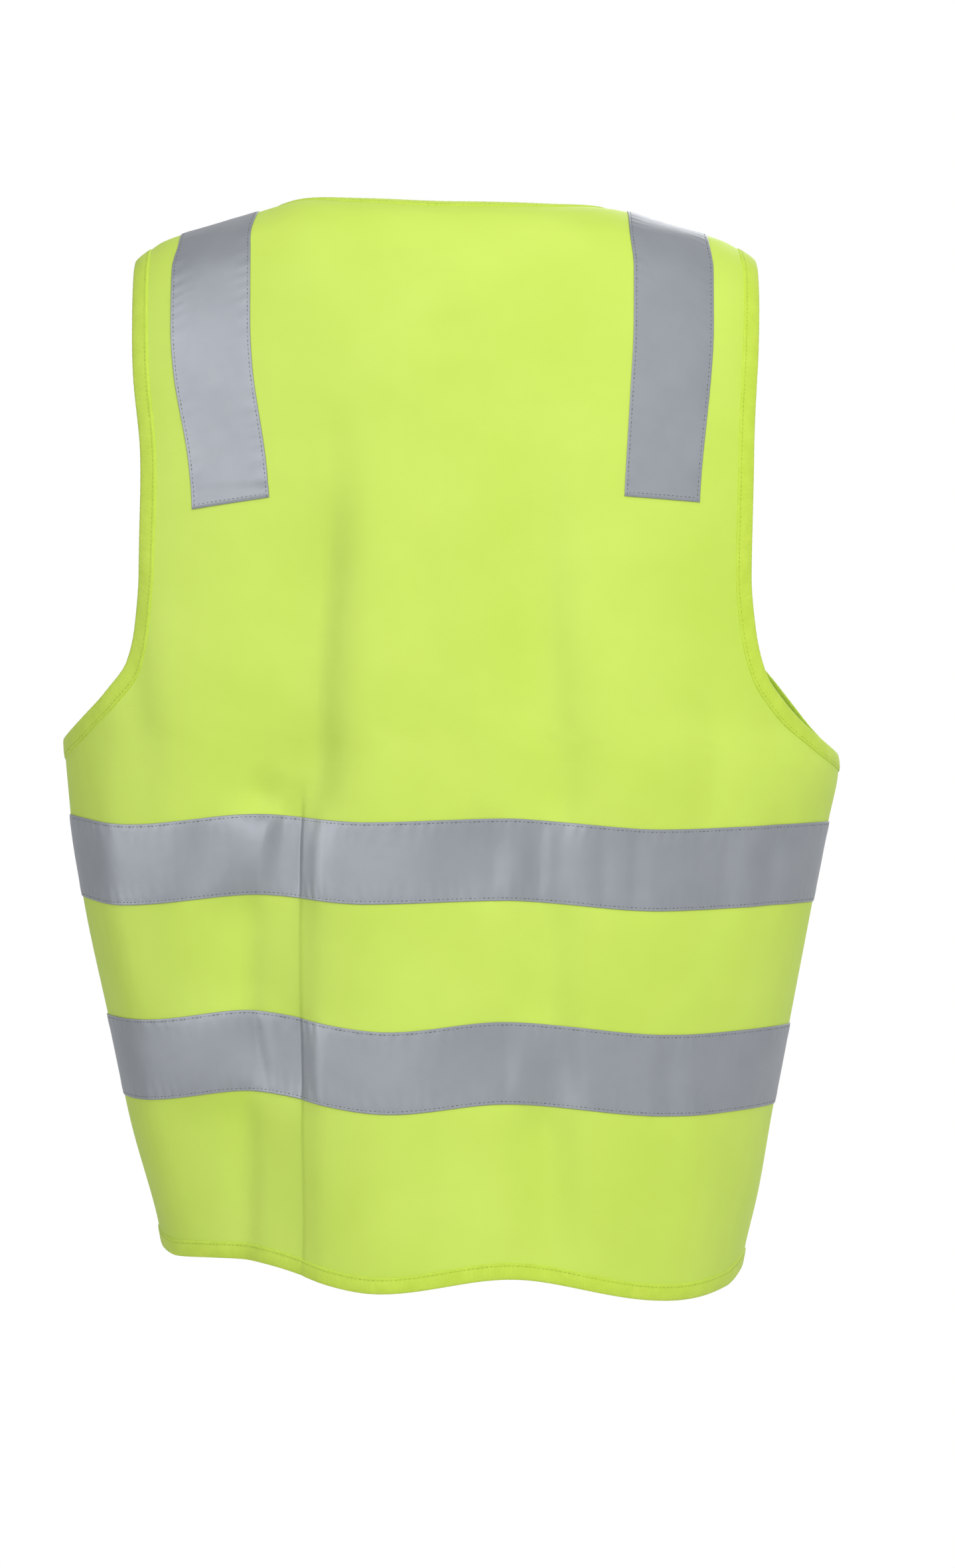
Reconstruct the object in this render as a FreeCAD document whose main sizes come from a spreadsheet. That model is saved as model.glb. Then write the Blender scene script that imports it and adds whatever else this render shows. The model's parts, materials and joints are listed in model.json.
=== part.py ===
import FreeCAD, Part
import os
from FreeCAD import Vector

# High visibility vest, size L.  Millimetres, Z up.  The origin is the wearer's neck point: on the
# plane of symmetry, level with the tops of the shoulders, midway between chest and back.
# The wearer faces +Y, so the back of the vest is at -Y and the zip is at +Y.
# The vest hangs unzipped: its front edges stand a little apart and the slider rests on its box.

doc = FreeCAD.newDocument("HighVisibilityVest")
sheet = doc.addObject("Spreadsheet::Sheet", "Sizes")

SIZES = {
    # layers, measured outwards from the middle of the cloth
    "cloth_outside": 0.3,
    "cloth_inside": -0.3,
    "tape_top": 0.95,
    "tape_under": 0.45,
    "binding_outside": 0.8,
    "binding_inside": -0.8,
    "lining_under": -0.6,
    "lining_inside": -1.1,
    # seams and edges
    "seam_gap": 0.5,
    "trim_gap": 1.5,
    "fit": 0.15,
    "binding_width": 10,
    "seam_allowance": 8,
    "hem_height": -672,
    "reach": 400,
    # reflective tape
    "tape_width": 50,
    "upper_tape_top": -389,
    "lower_tape_top": -514,
    "shoulder_tape_out": 116,
    "shoulder_tape_end": -190,
    # label inside the back of the neck
    "label_width": 44,
    "label_top": -12,
    "label_length": 50,
    # zip: tape and teeth of each edge
    "front_edge": 17,
    "zip_tape_out": 11.4,
    "zip_tape_width": 14,
    "zip_top": -181,
    "tooth_tip": 8,
    "tooth_length": 3.2,
    "tooth_depth": 2.4,
    "tooth_neck": 0.8,
    "tooth_head": 1.6,
    "tooth_head_at": 1.12,
    "tooth_waist": 0.64,
    "tooth_waist_at": 1.92,
    "tooth_pitch": 3,
    "tooth_count": 153,
    "stop_height": 3,
    "chain_depth": 133.9,
    # zip: box and pins at the foot
    "box_foot": -671.2,
    "box_height": 9,
    "box_in": 1.6,
    "box_out": 12.2,
    "box_thickness": 5.6,
    "pin_side": 1.8,
    "pin_fit": 0.2,
    "pin_length": 21,
    "pin_foot": 2,
    # zip: slider
    "slider_middle": 6.3,
    "slider_width": 12.6,
    "slider_height": 13,
    "slider_wall": 1.2,
    "slider_channel": 3.2,
    "slider_slot": 1.6,
    "slider_flange": 1,
    "slider_lift": 0.4,
    "slider_corner": 1.8,
    "bridge_side": 1.8,
    "bridge_height": 4,
    # zip: pull
    "lug_width": 1,
    "lug_reach": 3,
    "axle_radius": 0.7,
    "axle_stand": 1.9,
    "axle_drop": 2.6,
    "pull_width": 6,
    "pull_fit": 0.3,
    "pull_bore": 0.78,
    "knuckle_radius": 1.5,
    "pull_thickness": 1.4,
    "pull_length": 26,
    "pull_eye_radius": 1.9,
}

# Level rings of the vest, top to bottom: height, half width, depth of the back, depth of the front
LEVELS = (
    (8, 60, 22, 22),
    (0, 95, 52, 52),
    (-4, 122, 63, 64),
    (-10, 143, 72, 74),
    (-24, 183, 82, 87),
    (-45, 205, 91, 99),
    (-90, 224, 101, 115),
    (-140, 233, 108, 129),
    (-190, 238, 115, 134.7),
    (-240, 241, 120, 135),
    (-337, 245, 128, 135),
    (-390, 241, 131, 135),
    (-440, 232, 134, 135),
    (-500, 220, 137, 135),
    (-560, 208, 140, 135),
    (-620, 195, 143, 135),
    (-680, 181, 146, 135),
    (-740, 167, 149, 135),
)
# Edge curves seen from the front or back: distance out from the middle, height
BACK_ARMHOLE = (
    (196, 30),
    (197, -45),
    (196, -90),
    (192, -160),
    (191, -235),
    (194, -268),
    (200, -291),
    (214, -310),
    (231, -326),
    (248, -341),
)
FRONT_ARMHOLE = (
    (196, 30),
    (197, -45),
    (187, -90),
    (179, -150),
    (178, -215),
    (183, -252),
    (196, -281),
    (214, -303),
    (231, -322),
    (248, -341),
)
NECKLINE = (
    (95, 30),
    (95, 0),
    (90, -30),
    (76, -72),
    (54, -112),
    (29, -148),
    (9, -174),
    (2, -183),
)


def fill_sheet():
    """Write every driving size into the sheet under its own name."""
    cells = dict(SIZES)
    for index, row in enumerate(LEVELS):
        for name, number in zip(("height", "half_width", "back_depth", "front_depth"), row):
            cells["level%d_%s" % (index, name)] = number
    curves = (("back_armhole", BACK_ARMHOLE), ("front_armhole", FRONT_ARMHOLE), ("neckline", NECKLINE))
    for curve, points in curves:
        for index, (out, height) in enumerate(points):
            cells["%s%d_out" % (curve, index)] = out
            cells["%s%d_height" % (curve, index)] = height
    for line, (name, number) in enumerate(cells.items(), start=1):
        sheet.set("A%d" % line, name)
        sheet.set("B%d" % line, str(number))
        sheet.setAlias("B%d" % line, name)
    doc.recompute()


def size(name):
    """Value of one cell of the sheet."""
    return float(sheet.get(name))


def block(label, x, y, z):
    """Box whose (start, end) on each axis are written in terms of the sheet."""
    piece = doc.addObject("Part::Box", label)
    for axis, length, (start, end) in zip("xyz", ("Length", "Width", "Height"), (x, y, z)):
        piece.setExpression("Placement.Base.%s" % axis, start)
        piece.setExpression(length, "(%s) - (%s)" % (end, start))
    return piece


def rod(label, radius, length, x, y, z):
    """Round bar along X from its start point."""
    piece = doc.addObject("Part::Cylinder", label)
    piece.setExpression("Radius", radius)
    piece.setExpression("Height", length)
    piece.Placement = FreeCAD.Placement(Vector(), FreeCAD.Rotation(Vector(0, 1, 0), 90))
    for axis, place in zip("xyz", (x, y, z)):
        piece.setExpression("Placement.Base.%s" % axis, place)
    return piece


def common(label, *shapes):
    """What all the shapes share."""
    piece = doc.addObject("Part::MultiCommon", label)
    piece.Shapes = list(shapes)
    return piece


def cut(label, base, *tools):
    """The base with each tool taken away in turn."""
    for index, tool in enumerate(tools, start=1):
        piece = doc.addObject("Part::Cut", label if index == len(tools) else label + "_cut%d" % index)
        piece.Base = base
        piece.Tool = tool
        base = piece
    return base


def fuse(label, *shapes):
    """All the shapes as one solid."""
    piece = doc.addObject("Part::MultiFuse", label)
    piece.Shapes = list(shapes)
    piece.Refine = True
    return piece


def mirror(label, source):
    """The same piece on the other side of the vest."""
    piece = doc.addObject("Part::Mirroring", label)
    piece.Source = source
    piece.Normal = Vector(1, 0, 0)
    return piece


def form(side, layer):
    """Solid body of the vest out to one layer, lofted through its level rings."""
    rings = []
    for index in range(len(LEVELS)):
        level = "Sizes.level%d" % index
        ring = doc.addObject("Part::Ellipse", "%s_%s_ring%d" % (side, layer, index))
        ring.setExpression("MajorRadius", "%s_half_width + Sizes.%s" % (level, layer))
        ring.setExpression("MinorRadius", "%s_%s_depth + Sizes.%s" % (level, side, layer))
        ring.setExpression("Placement.Base.z", "%s_height + Sizes.%s" % (level, layer))
        rings.append(ring)
    body = doc.addObject("Part::Loft", "%s_%s_form" % (side, layer))
    body.Sections = rings
    body.Solid = True
    return body


def shell(side, outer, inner):
    """One half of the vest as a layer between two forms."""
    whole = cut("%s_%s_layer" % (side, outer), form(side, outer), form(side, inner))
    return common("%s_%s_shell" % (side, outer), whole, HALVES[side])


def edge_tool(curve, allowance):
    """Straight-sided cutter for the opening inside an edge curve, made wider by an allowance."""
    count, cloth_side, far_side, depth_side = CURVES[curve]
    points = [Vector(size("%s%d_out" % (curve, k)), 0, size("%s%d_height" % (curve, k))) for k in range(count)]
    moved = []
    for index, point in enumerate(points):
        run = points[min(index + 1, count - 1)] - points[max(index - 1, 0)]
        across = Vector(run.z, 0, -run.x).normalize()
        moved.append(point + across * (cloth_side * allowance))
    spline = Part.BSplineCurve()
    spline.interpolate(moved)
    far = far_side * size("reach")
    corners = [moved[-1], Vector(far, 0, moved[-1].z), Vector(far, 0, moved[0].z), moved[0]]
    lines = [Part.makeLine(start, end) for start, end in zip(corners, corners[1:])]
    name = "%s_plus_%d" % (curve, round(allowance * 100))
    outline = doc.addObject("Part::Feature", name + "_outline")
    outline.Shape = Part.Wire([spline.toShape()] + lines)
    tool = doc.addObject("Part::Extrusion", name)
    tool.Base = outline
    tool.DirMode = "Custom"
    tool.Dir = Vector(0, depth_side, 0)
    tool.setExpression("LengthFwd", "Sizes.reach")
    tool.Solid = True
    return tool


def edge_tools(curve):
    """Left-hand cutters of a curve: to its edge, to the edge of its binding, and for the cloth."""
    width = size("binding_width")
    rights = [edge_tool(curve, allowance) for allowance in (0, width, width + size("fit"))]
    return rights, [mirror(tool.Name + "_left", tool) for tool in rights]


# Each curve: number of points, side its cloth is on, side its opening is on, front or back
CURVES = {
    "back_armhole": (len(BACK_ARMHOLE), 1, 1, -1),
    "front_armhole": (len(FRONT_ARMHOLE), 1, 1, 1),
    "neckline": (len(NECKLINE), -1, -1, 1),
}
fill_sheet()

FULL_X = ("-Sizes.reach", "Sizes.reach")
LEFT_X = ("-Sizes.reach", "0")
BACK_Y = ("-Sizes.reach", "-Sizes.seam_gap")
FRONT_Y = ("Sizes.seam_gap", "Sizes.reach")
FULL_Z = ("Sizes.hem_height", "0")
# The back, and the left front as far as its folded edge; the zip tape reaches a little further
HALVES = {
    "back": block("back_half", FULL_X, BACK_Y, FULL_Z),
    "front": block("front_half", ("-Sizes.reach", "-Sizes.front_edge"), FRONT_Y, FULL_Z),
}
zip_side = block("zip_side", ("-Sizes.reach", "-Sizes.zip_tape_out"), FRONT_Y, FULL_Z)

cloth = {side: shell(side, "cloth_outside", "cloth_inside") for side in HALVES}
tape = {side: shell(side, "tape_top", "tape_under") for side in HALVES}
binding = {side: shell(side, "binding_outside", "binding_inside") for side in HALVES}
lining_back = shell("back", "lining_under", "lining_inside")
lining_front = common(
    "front_lining_shell",
    cut("front_lining_layer", form("front", "lining_under"), form("front", "lining_inside")),
    zip_side,
)

# Armholes and neckline as straight-sided cutters
back_arm_right, back_arm_left = edge_tools("back_armhole")
front_arm_left = edge_tools("front_armhole")[1]
neckline_left = edge_tools("neckline")[1]


def neck_disc(label, allowance):
    """Upright oval bar that stands in the neck opening, wider by the allowance."""
    ring = doc.addObject("Part::Ellipse", label + "_ring")
    ring.setExpression("MajorRadius", "Sizes.level1_half_width + " + allowance)
    ring.setExpression("MinorRadius", "Sizes.level1_back_depth + " + allowance)
    ring.setExpression("Placement.Base.z", "-Sizes.reach")
    bar = doc.addObject("Part::Extrusion", label)
    bar.Base = ring
    bar.DirMode = "Custom"
    bar.Dir = Vector(0, 0, 1)
    bar.setExpression("LengthFwd", "2 * Sizes.reach")
    bar.Solid = True
    return bar


neck_bound = neck_disc("neck_bound", "Sizes.binding_width")
neck_cloth = neck_disc("neck_cloth", "Sizes.binding_width + Sizes.fit")

# Bands and windows that trim the layers to the pieces
HEM_BAND = ("Sizes.hem_height", "Sizes.hem_height + Sizes.binding_width")
CLOTH_Z = ("Sizes.hem_height + Sizes.binding_width + Sizes.fit", "0")
UPPER_Z = ("Sizes.upper_tape_top - Sizes.tape_width", "Sizes.upper_tape_top")
LOWER_Z = ("Sizes.lower_tape_top - Sizes.tape_width", "Sizes.lower_tape_top")
FRONT_TRIM_Y = ("Sizes.trim_gap", "Sizes.reach")
BACK_TRIM_Y = ("-Sizes.reach", "-Sizes.seam_gap")
SHOULDER_X = ("-Sizes.shoulder_tape_out - Sizes.tape_width", "-Sizes.shoulder_tape_out")
SEAM_Y = ("-Sizes.trim_gap - Sizes.seam_allowance", "-Sizes.trim_gap")
pieces = []


def keep(piece):
    """Count a finished piece in."""
    pieces.append(piece)
    return piece


def pair(name, piece):
    """Keep a left-hand piece and its right-hand copy; both labels are made from one name."""
    piece.Label = name % "left"
    keep(piece)
    keep(mirror(name % "right", piece))


# Cloth panels
cloth_band = block("cloth_band", FULL_X, ("-Sizes.reach", "Sizes.reach"), CLOTH_Z)
back_cloth = common("back_cloth", cloth["back"], cloth_band)
keep(cut("back_panel", back_cloth, back_arm_right[2], back_arm_left[2], neck_cloth))
front_cloth = common("front_cloth", cloth["front"], cloth_band)
pair("%s_front_panel", cut("front_panel_cut", front_cloth, front_arm_left[2], neckline_left[2]))

# Bindings round the neck, the armholes and the hem
hem_band = block("hem_band", FULL_X, ("-Sizes.reach", "Sizes.reach"), HEM_BAND)
front_trim = block("front_trim", ("-Sizes.reach", "-Sizes.front_edge"), FRONT_TRIM_Y, FULL_Z)
keep(common("neck_binding_back", binding["back"], neck_bound))
back_arm_band = cut("back_arm_band", back_arm_left[1], back_arm_left[0])
front_arm_band = cut("front_arm_band", front_arm_left[1], front_arm_left[0])
front_neck_band = cut("front_neck_band", neckline_left[1], neckline_left[0])
pair("neck_binding_%s", common("neck_binding_front", binding["front"], front_neck_band, front_trim))
pair("armhole_binding_%s_back", common("armhole_binding_back", binding["back"], back_arm_band))
pair("armhole_binding_%s_front", common("armhole_binding_front", binding["front"], front_arm_band, front_trim))
keep(common("hem_binding_back", binding["back"], hem_band))
pair("hem_binding_%s", common("hem_binding_front", binding["front"], hem_band, front_trim))

# Reflective tape: two bands round the body and one strip over each shoulder
for name, heights in (("upper", UPPER_Z), ("lower", LOWER_Z)):
    band = block(name + "_tape_band", FULL_X, ("-Sizes.reach", "Sizes.reach"), heights)
    keep(common(name + "_waist_tape_back", tape["back"], band))
    pair(name + "_waist_tape_%s", common(name + "_waist_tape_front", tape["front"], band, front_trim))
back_strip = block("back_strip", SHOULDER_X, BACK_TRIM_Y, ("Sizes.shoulder_tape_end", "0"))
front_strip = block("front_strip", SHOULDER_X, FRONT_TRIM_Y, ("Sizes.upper_tape_top + Sizes.fit", "0"))
pair("shoulder_tape_%s_back", common("shoulder_tape_back", tape["back"], back_strip))
pair("shoulder_tape_%s_front", common("shoulder_tape_front", tape["front"], front_strip))

# Seam allowances folded to the back, and the blank label
side_window = block(
    "side_window",
    LEFT_X,
    SEAM_Y,
    ("Sizes.hem_height + Sizes.binding_width + Sizes.fit",
     "Sizes.back_armhole9_height - Sizes.binding_width - 2 * Sizes.fit"),
)
pair("side_seam_%s", common("side_seam", lining_back, side_window))
shoulder_window = block(
    "shoulder_window",
    ("-Sizes.back_armhole1_out + Sizes.binding_width + 2 * Sizes.fit",
     "-Sizes.neckline1_out - Sizes.binding_width - 2 * Sizes.fit"),
    SEAM_Y,
    ("Sizes.level6_height", "0"),
)
pair("shoulder_seam_%s", common("shoulder_seam", lining_back, shoulder_window))
label_window = block(
    "label_window",
    ("-Sizes.label_width / 2", "Sizes.label_width / 2"),
    BACK_TRIM_Y,
    ("Sizes.label_top - Sizes.label_length", "Sizes.label_top"),
)
keep(common("neck_label", lining_back, label_window))

# Zip tapes, sewn behind the two front edges
zip_window = block(
    "zip_window",
    ("-Sizes.zip_tape_out - Sizes.zip_tape_width", "-Sizes.zip_tape_out"),
    FRONT_Y,
    ("Sizes.hem_height + Sizes.binding_width + Sizes.fit", "Sizes.zip_top"),
)
pair("zip_tape_%s", common("zip_tape", lining_front, zip_window))

# Zip teeth: one tooth drawn once and stepped up each edge, the left row half a step higher
CHAIN_Y = ("Sizes.chain_depth - Sizes.tooth_depth / 2", "Sizes.chain_depth + Sizes.tooth_depth / 2")
ROW_X = ("Sizes.tooth_tip", "Sizes.tooth_tip + Sizes.tooth_length")
PIN_X = ("Sizes.tooth_tip + Sizes.tooth_length - Sizes.pin_side", "Sizes.tooth_tip + Sizes.tooth_length")
PIN_Y = ("Sizes.chain_depth - Sizes.pin_side / 2", "Sizes.chain_depth + Sizes.pin_side / 2")
PIN_FOOT = "Sizes.box_foot + Sizes.pin_foot"
PIN_Z = (PIN_FOOT, PIN_FOOT + " + Sizes.pin_length")


def tooth_row(label, rise):
    """Row of teeth along the right-hand edge, its first tooth raised by a part of a step."""
    length, tip, head, waist = size("tooth_length"), size("tooth_neck"), size("tooth_head"), size("tooth_waist")
    outline = ((0, tip), (size("tooth_head_at"), head), (size("tooth_waist_at"), waist), (length, head))
    half = [(out, across / 2) for out, across in outline]
    rim = [(out, up) for out, up in half] + [(out, -up) for out, up in reversed(half)]
    y = size("chain_depth") - size("tooth_depth") / 2
    corners = [Vector(size("tooth_tip") + out, y, up) for out, up in rim]
    tooth = Part.Face(Part.makePolygon(corners + corners[:1])).extrude(Vector(0, size("tooth_depth"), 0))
    start = size("box_foot") + size("pin_foot") + size("pin_length") + size("tooth_head")
    teeth = []
    for step in range(int(size("tooth_count"))):
        teeth.append(tooth.translated(Vector(0, 0, start + (step + rise) * size("tooth_pitch"))))
    row = doc.addObject("Part::Feature", label)
    row.Shape = Part.makeCompound(teeth)
    return row


keep(tooth_row("zip_teeth_right", 0))
keep(mirror("zip_teeth_left", tooth_row("left_row", 0.5)))
STOP_FOOT = PIN_FOOT + " + Sizes.pin_length + Sizes.tooth_head + (Sizes.tooth_count + 0.5) * Sizes.tooth_pitch"
stop = block("zip_top_stop_right", ROW_X, CHAIN_Y, (STOP_FOOT, STOP_FOOT + " + Sizes.stop_height"))
keep(stop)
keep(mirror("zip_top_stop_left", stop))

# Zip foot: a pin on each edge and the box that holds the right-hand one
pin = block("zip_retaining_pin", PIN_X, PIN_Y, PIN_Z)
keep(pin)
keep(mirror("zip_insertion_pin", pin))
box_block = block(
    "box_block",
    ("Sizes.box_in", "Sizes.box_out"),
    ("Sizes.chain_depth - Sizes.box_thickness / 2", "Sizes.chain_depth + Sizes.box_thickness / 2"),
    ("Sizes.box_foot", "Sizes.box_foot + Sizes.box_height"),
)
SOCKET_Y = (PIN_Y[0] + " - Sizes.pin_fit", PIN_Y[1] + " + Sizes.pin_fit")
SOCKET_Z = (PIN_FOOT + " - Sizes.pin_fit", "Sizes.box_foot + 2 * Sizes.box_height")
pin_socket = block(
    "pin_socket",
    (PIN_X[0] + " - Sizes.pin_fit", PIN_X[1] + " + Sizes.pin_fit"),
    SOCKET_Y,
    SOCKET_Z,
)
free_socket = block(
    "free_socket",
    (PIN_X[0] + " - Sizes.pin_fit - 2 * Sizes.pin_side", PIN_X[0] + " + Sizes.pin_fit - Sizes.pin_side"),
    SOCKET_Y,
    SOCKET_Z,
)
keep(cut("zip_box", box_block, pin_socket, free_socket))

# Slider: two plates joined by the bridge, open below and at both sides for the teeth and tape
SLIDER_FOOT = "Sizes.box_foot + Sizes.box_height + Sizes.slider_lift"
SLIDER_TOP = SLIDER_FOOT + " + Sizes.slider_height"
FACE_Y = "Sizes.chain_depth + Sizes.slider_channel / 2 + Sizes.slider_wall"
slider_block = block(
    "slider_block",
    ("Sizes.slider_middle - Sizes.slider_width / 2", "Sizes.slider_middle + Sizes.slider_width / 2"),
    ("Sizes.chain_depth - Sizes.slider_channel / 2 - Sizes.slider_wall", FACE_Y),
    (SLIDER_FOOT, SLIDER_TOP),
)
doc.recompute()


def round_edges(label, base, radius):
    """The block with its four edges along Y rounded."""
    piece = doc.addObject("Part::Fillet", label)
    piece.Base = base
    edges = []
    for index, edge in enumerate(base.Shape.Edges, start=1):
        run = edge.Vertexes[-1].Point - edge.Vertexes[0].Point
        if abs(run.y) > abs(run.x) + abs(run.z):
            edges.append((index, radius, radius))
    piece.Edges = edges
    return piece


channel = block(
    "slider_channel_space",
    ("Sizes.slider_middle - Sizes.slider_width / 2 + Sizes.slider_flange",
     "Sizes.slider_middle + Sizes.slider_width / 2 - Sizes.slider_flange"),
    ("Sizes.chain_depth - Sizes.slider_channel / 2", "Sizes.chain_depth + Sizes.slider_channel / 2"),
    (SLIDER_FOOT + " - Sizes.slider_height", SLIDER_TOP + " + Sizes.slider_height"),
)
slot = block(
    "slider_slot_space",
    ("Sizes.slider_middle - Sizes.slider_width", "Sizes.slider_middle + Sizes.slider_width"),
    ("Sizes.chain_depth - Sizes.slider_slot / 2", "Sizes.chain_depth + Sizes.slider_slot / 2"),
    (SLIDER_FOOT + " - Sizes.slider_height", SLIDER_TOP + " + Sizes.slider_height"),
)
plates = cut("slider_plates", round_edges("slider_rounded", slider_block, size("slider_corner")), channel, slot)
bridge = block(
    "slider_bridge",
    ("Sizes.slider_middle - Sizes.bridge_side / 2", "Sizes.slider_middle + Sizes.bridge_side / 2"),
    ("Sizes.chain_depth - Sizes.slider_channel / 2 - Sizes.slider_wall / 2",
     "Sizes.chain_depth + Sizes.slider_channel / 2 + Sizes.slider_wall / 2"),
    (SLIDER_TOP + " - Sizes.bridge_height", SLIDER_TOP),
)
AXLE_Y = FACE_Y + " + Sizes.axle_stand"
AXLE_Z = SLIDER_TOP + " - Sizes.axle_drop"
LUG_GAP = "Sizes.pull_width / 2 + Sizes.pull_fit"
LUG_END = LUG_GAP + " + Sizes.lug_width"
LUG_Y = (FACE_Y + " - Sizes.slider_wall / 2", FACE_Y + " + Sizes.lug_reach")
LUG_Z = (AXLE_Z + " - Sizes.knuckle_radius", AXLE_Z + " + Sizes.knuckle_radius")
lug_left = block(
    "slider_lug_left",
    ("Sizes.slider_middle - (%s)" % LUG_END, "Sizes.slider_middle - (%s)" % LUG_GAP),
    LUG_Y,
    LUG_Z,
)
lug_right = block(
    "slider_lug_right",
    ("Sizes.slider_middle + " + LUG_GAP, "Sizes.slider_middle + " + LUG_END),
    LUG_Y,
    LUG_Z,
)
axle = rod(
    "slider_axle",
    "Sizes.axle_radius",
    "2 * (%s)" % LUG_END,
    "Sizes.slider_middle - (%s)" % LUG_END,
    AXLE_Y,
    AXLE_Z,
)
keep(fuse("zip_slider", plates, bridge, lug_left, lug_right, axle))

# Pull: a flat tab with a bored knuckle at the top and an eye near its end
PULL_START = "Sizes.slider_middle - Sizes.pull_width / 2"
knuckle = rod("pull_knuckle", "Sizes.knuckle_radius", "Sizes.pull_width", PULL_START, AXLE_Y, AXLE_Z)
bore = rod("pull_bore_space", "Sizes.pull_bore", "Sizes.pull_width", PULL_START, AXLE_Y, AXLE_Z)
blade = block(
    "pull_blade",
    (PULL_START, "Sizes.slider_middle + Sizes.pull_width / 2"),
    (AXLE_Y + " - Sizes.pull_thickness / 2", AXLE_Y + " + Sizes.pull_thickness / 2"),
    (AXLE_Z + " - Sizes.pull_length", AXLE_Z),
)
eye = doc.addObject("Part::Cylinder", "pull_eye_space")
eye.setExpression("Radius", "Sizes.pull_eye_radius")
eye.setExpression("Height", "2 * Sizes.lug_reach")
eye.Placement = FreeCAD.Placement(Vector(), FreeCAD.Rotation(Vector(1, 0, 0), -90))
eye.setExpression("Placement.Base.x", "Sizes.slider_middle")
eye.setExpression("Placement.Base.y", AXLE_Y + " - Sizes.lug_reach")
eye.setExpression("Placement.Base.z", AXLE_Z + " - Sizes.pull_length + 2 * Sizes.pull_eye_radius")
doc.recompute()
rounded_blade = round_edges("pull_rounded", blade, size("pull_eye_radius"))
keep(cut("zip_pull", fuse("pull_solid", rounded_blade, knuckle), bore, eye))

doc.recompute()
for part in doc.Objects:
    if "Invalid" in part.State or "Error" in part.State:
        raise RuntimeError("%s did not build" % part.Label)
os.makedirs("parts", exist_ok=True)
for piece in pieces:
    shape = piece.Shape
    if shape.isNull() or not shape.isValid():
        raise RuntimeError("%s has no valid shape" % piece.Label)
    shape.exportStep("parts/%s.step" % piece.Label)
    print(piece.Label, len(shape.Solids), round(shape.Volume, 1))
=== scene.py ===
import json
import math

import bpy
import numpy as np
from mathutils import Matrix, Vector

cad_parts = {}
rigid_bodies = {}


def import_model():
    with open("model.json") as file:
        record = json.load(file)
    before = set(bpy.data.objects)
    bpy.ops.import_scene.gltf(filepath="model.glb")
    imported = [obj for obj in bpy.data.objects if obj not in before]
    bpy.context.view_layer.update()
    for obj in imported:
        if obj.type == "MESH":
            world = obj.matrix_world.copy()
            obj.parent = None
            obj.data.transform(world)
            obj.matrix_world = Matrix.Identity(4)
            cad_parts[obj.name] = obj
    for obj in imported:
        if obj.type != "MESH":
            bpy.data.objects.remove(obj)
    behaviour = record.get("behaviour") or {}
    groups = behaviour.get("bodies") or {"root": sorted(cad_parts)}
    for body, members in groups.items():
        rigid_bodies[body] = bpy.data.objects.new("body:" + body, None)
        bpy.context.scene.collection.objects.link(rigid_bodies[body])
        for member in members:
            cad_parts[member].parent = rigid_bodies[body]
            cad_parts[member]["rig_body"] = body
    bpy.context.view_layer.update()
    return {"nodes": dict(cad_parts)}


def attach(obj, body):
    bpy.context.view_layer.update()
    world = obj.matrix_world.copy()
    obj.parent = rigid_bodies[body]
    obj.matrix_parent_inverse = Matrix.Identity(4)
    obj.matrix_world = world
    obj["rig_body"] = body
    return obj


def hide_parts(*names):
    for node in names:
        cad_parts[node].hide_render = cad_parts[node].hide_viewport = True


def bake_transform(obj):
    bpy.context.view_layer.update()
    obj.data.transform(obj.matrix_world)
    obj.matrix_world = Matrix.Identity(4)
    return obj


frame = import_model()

# High visibility vest.  Metres, in the CAD frame: back at -Y, zip at +Y, wearer's left at -X.
MM = 0.001
BACK, FRONT = -1, 1

# Rings of the vest, top to bottom, in mm: height, half width, depth of the back, depth of the front
RINGS = (
    (8, 60, 22, 22), (0, 95, 52, 52), (-4, 122, 63, 64),
    (-10, 143, 72, 74), (-24, 183, 82, 87), (-45, 205, 91, 99),
    (-90, 224, 101, 115), (-140, 233, 108, 129), (-190, 238, 115, 134.7),
    (-240, 241, 120, 135), (-337, 245, 128, 135), (-390, 241, 131, 135),
    (-440, 232, 134, 135), (-500, 220, 137, 135), (-560, 208, 140, 135),
    (-620, 195, 143, 135), (-680, 181, 146, 135), (-740, 167, 149, 135),
)
# Edges seen from the front or back, in mm: distance out from the middle, height
ARMHOLE = {
    BACK: ((196, 30), (197, -45), (196, -90), (192, -160), (191, -235), (194, -268), (200, -291),
           (214, -310), (231, -326), (248, -341)),
    FRONT: ((196, 30), (197, -45), (187, -90), (179, -150), (178, -215), (183, -252), (196, -281),
            (214, -303), (231, -322), (248, -341)),
}
NECKLINE = ((95, 30), (95, 0), (90, -30), (76, -72), (54, -112), (29, -148), (9, -174), (2, -183))
HEM = -672 * MM
UPPER_TAPE = -389 * MM
LOWER_TAPE = -514 * MM
TAPE = 50 * MM
BINDING = 10 * MM
FRONT_EDGE = 17 * MM
SHOULDER_TAPE_FROM_MIDDLE = 116 * MM
SHOULDER_TAPE_END = {BACK: -190 * MM, FRONT: UPPER_TAPE + 1 * MM}
# How much lower the outer corner of a shoulder tape's back end hangs, per unit of width
SHOULDER_TAPE_SLOPE = {-1: 0.145, 1: 0.06}
# Lower down, the back's shoulder tapes run inward by a shift, plus a share of the distance across
# them, which comes in between two heights
SHOULDER_TAPE_IN = (6 * MM, 0.06)
SHOULDER_TAPE_IN_RUN = (-80 * MM, -200 * MM)
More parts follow.
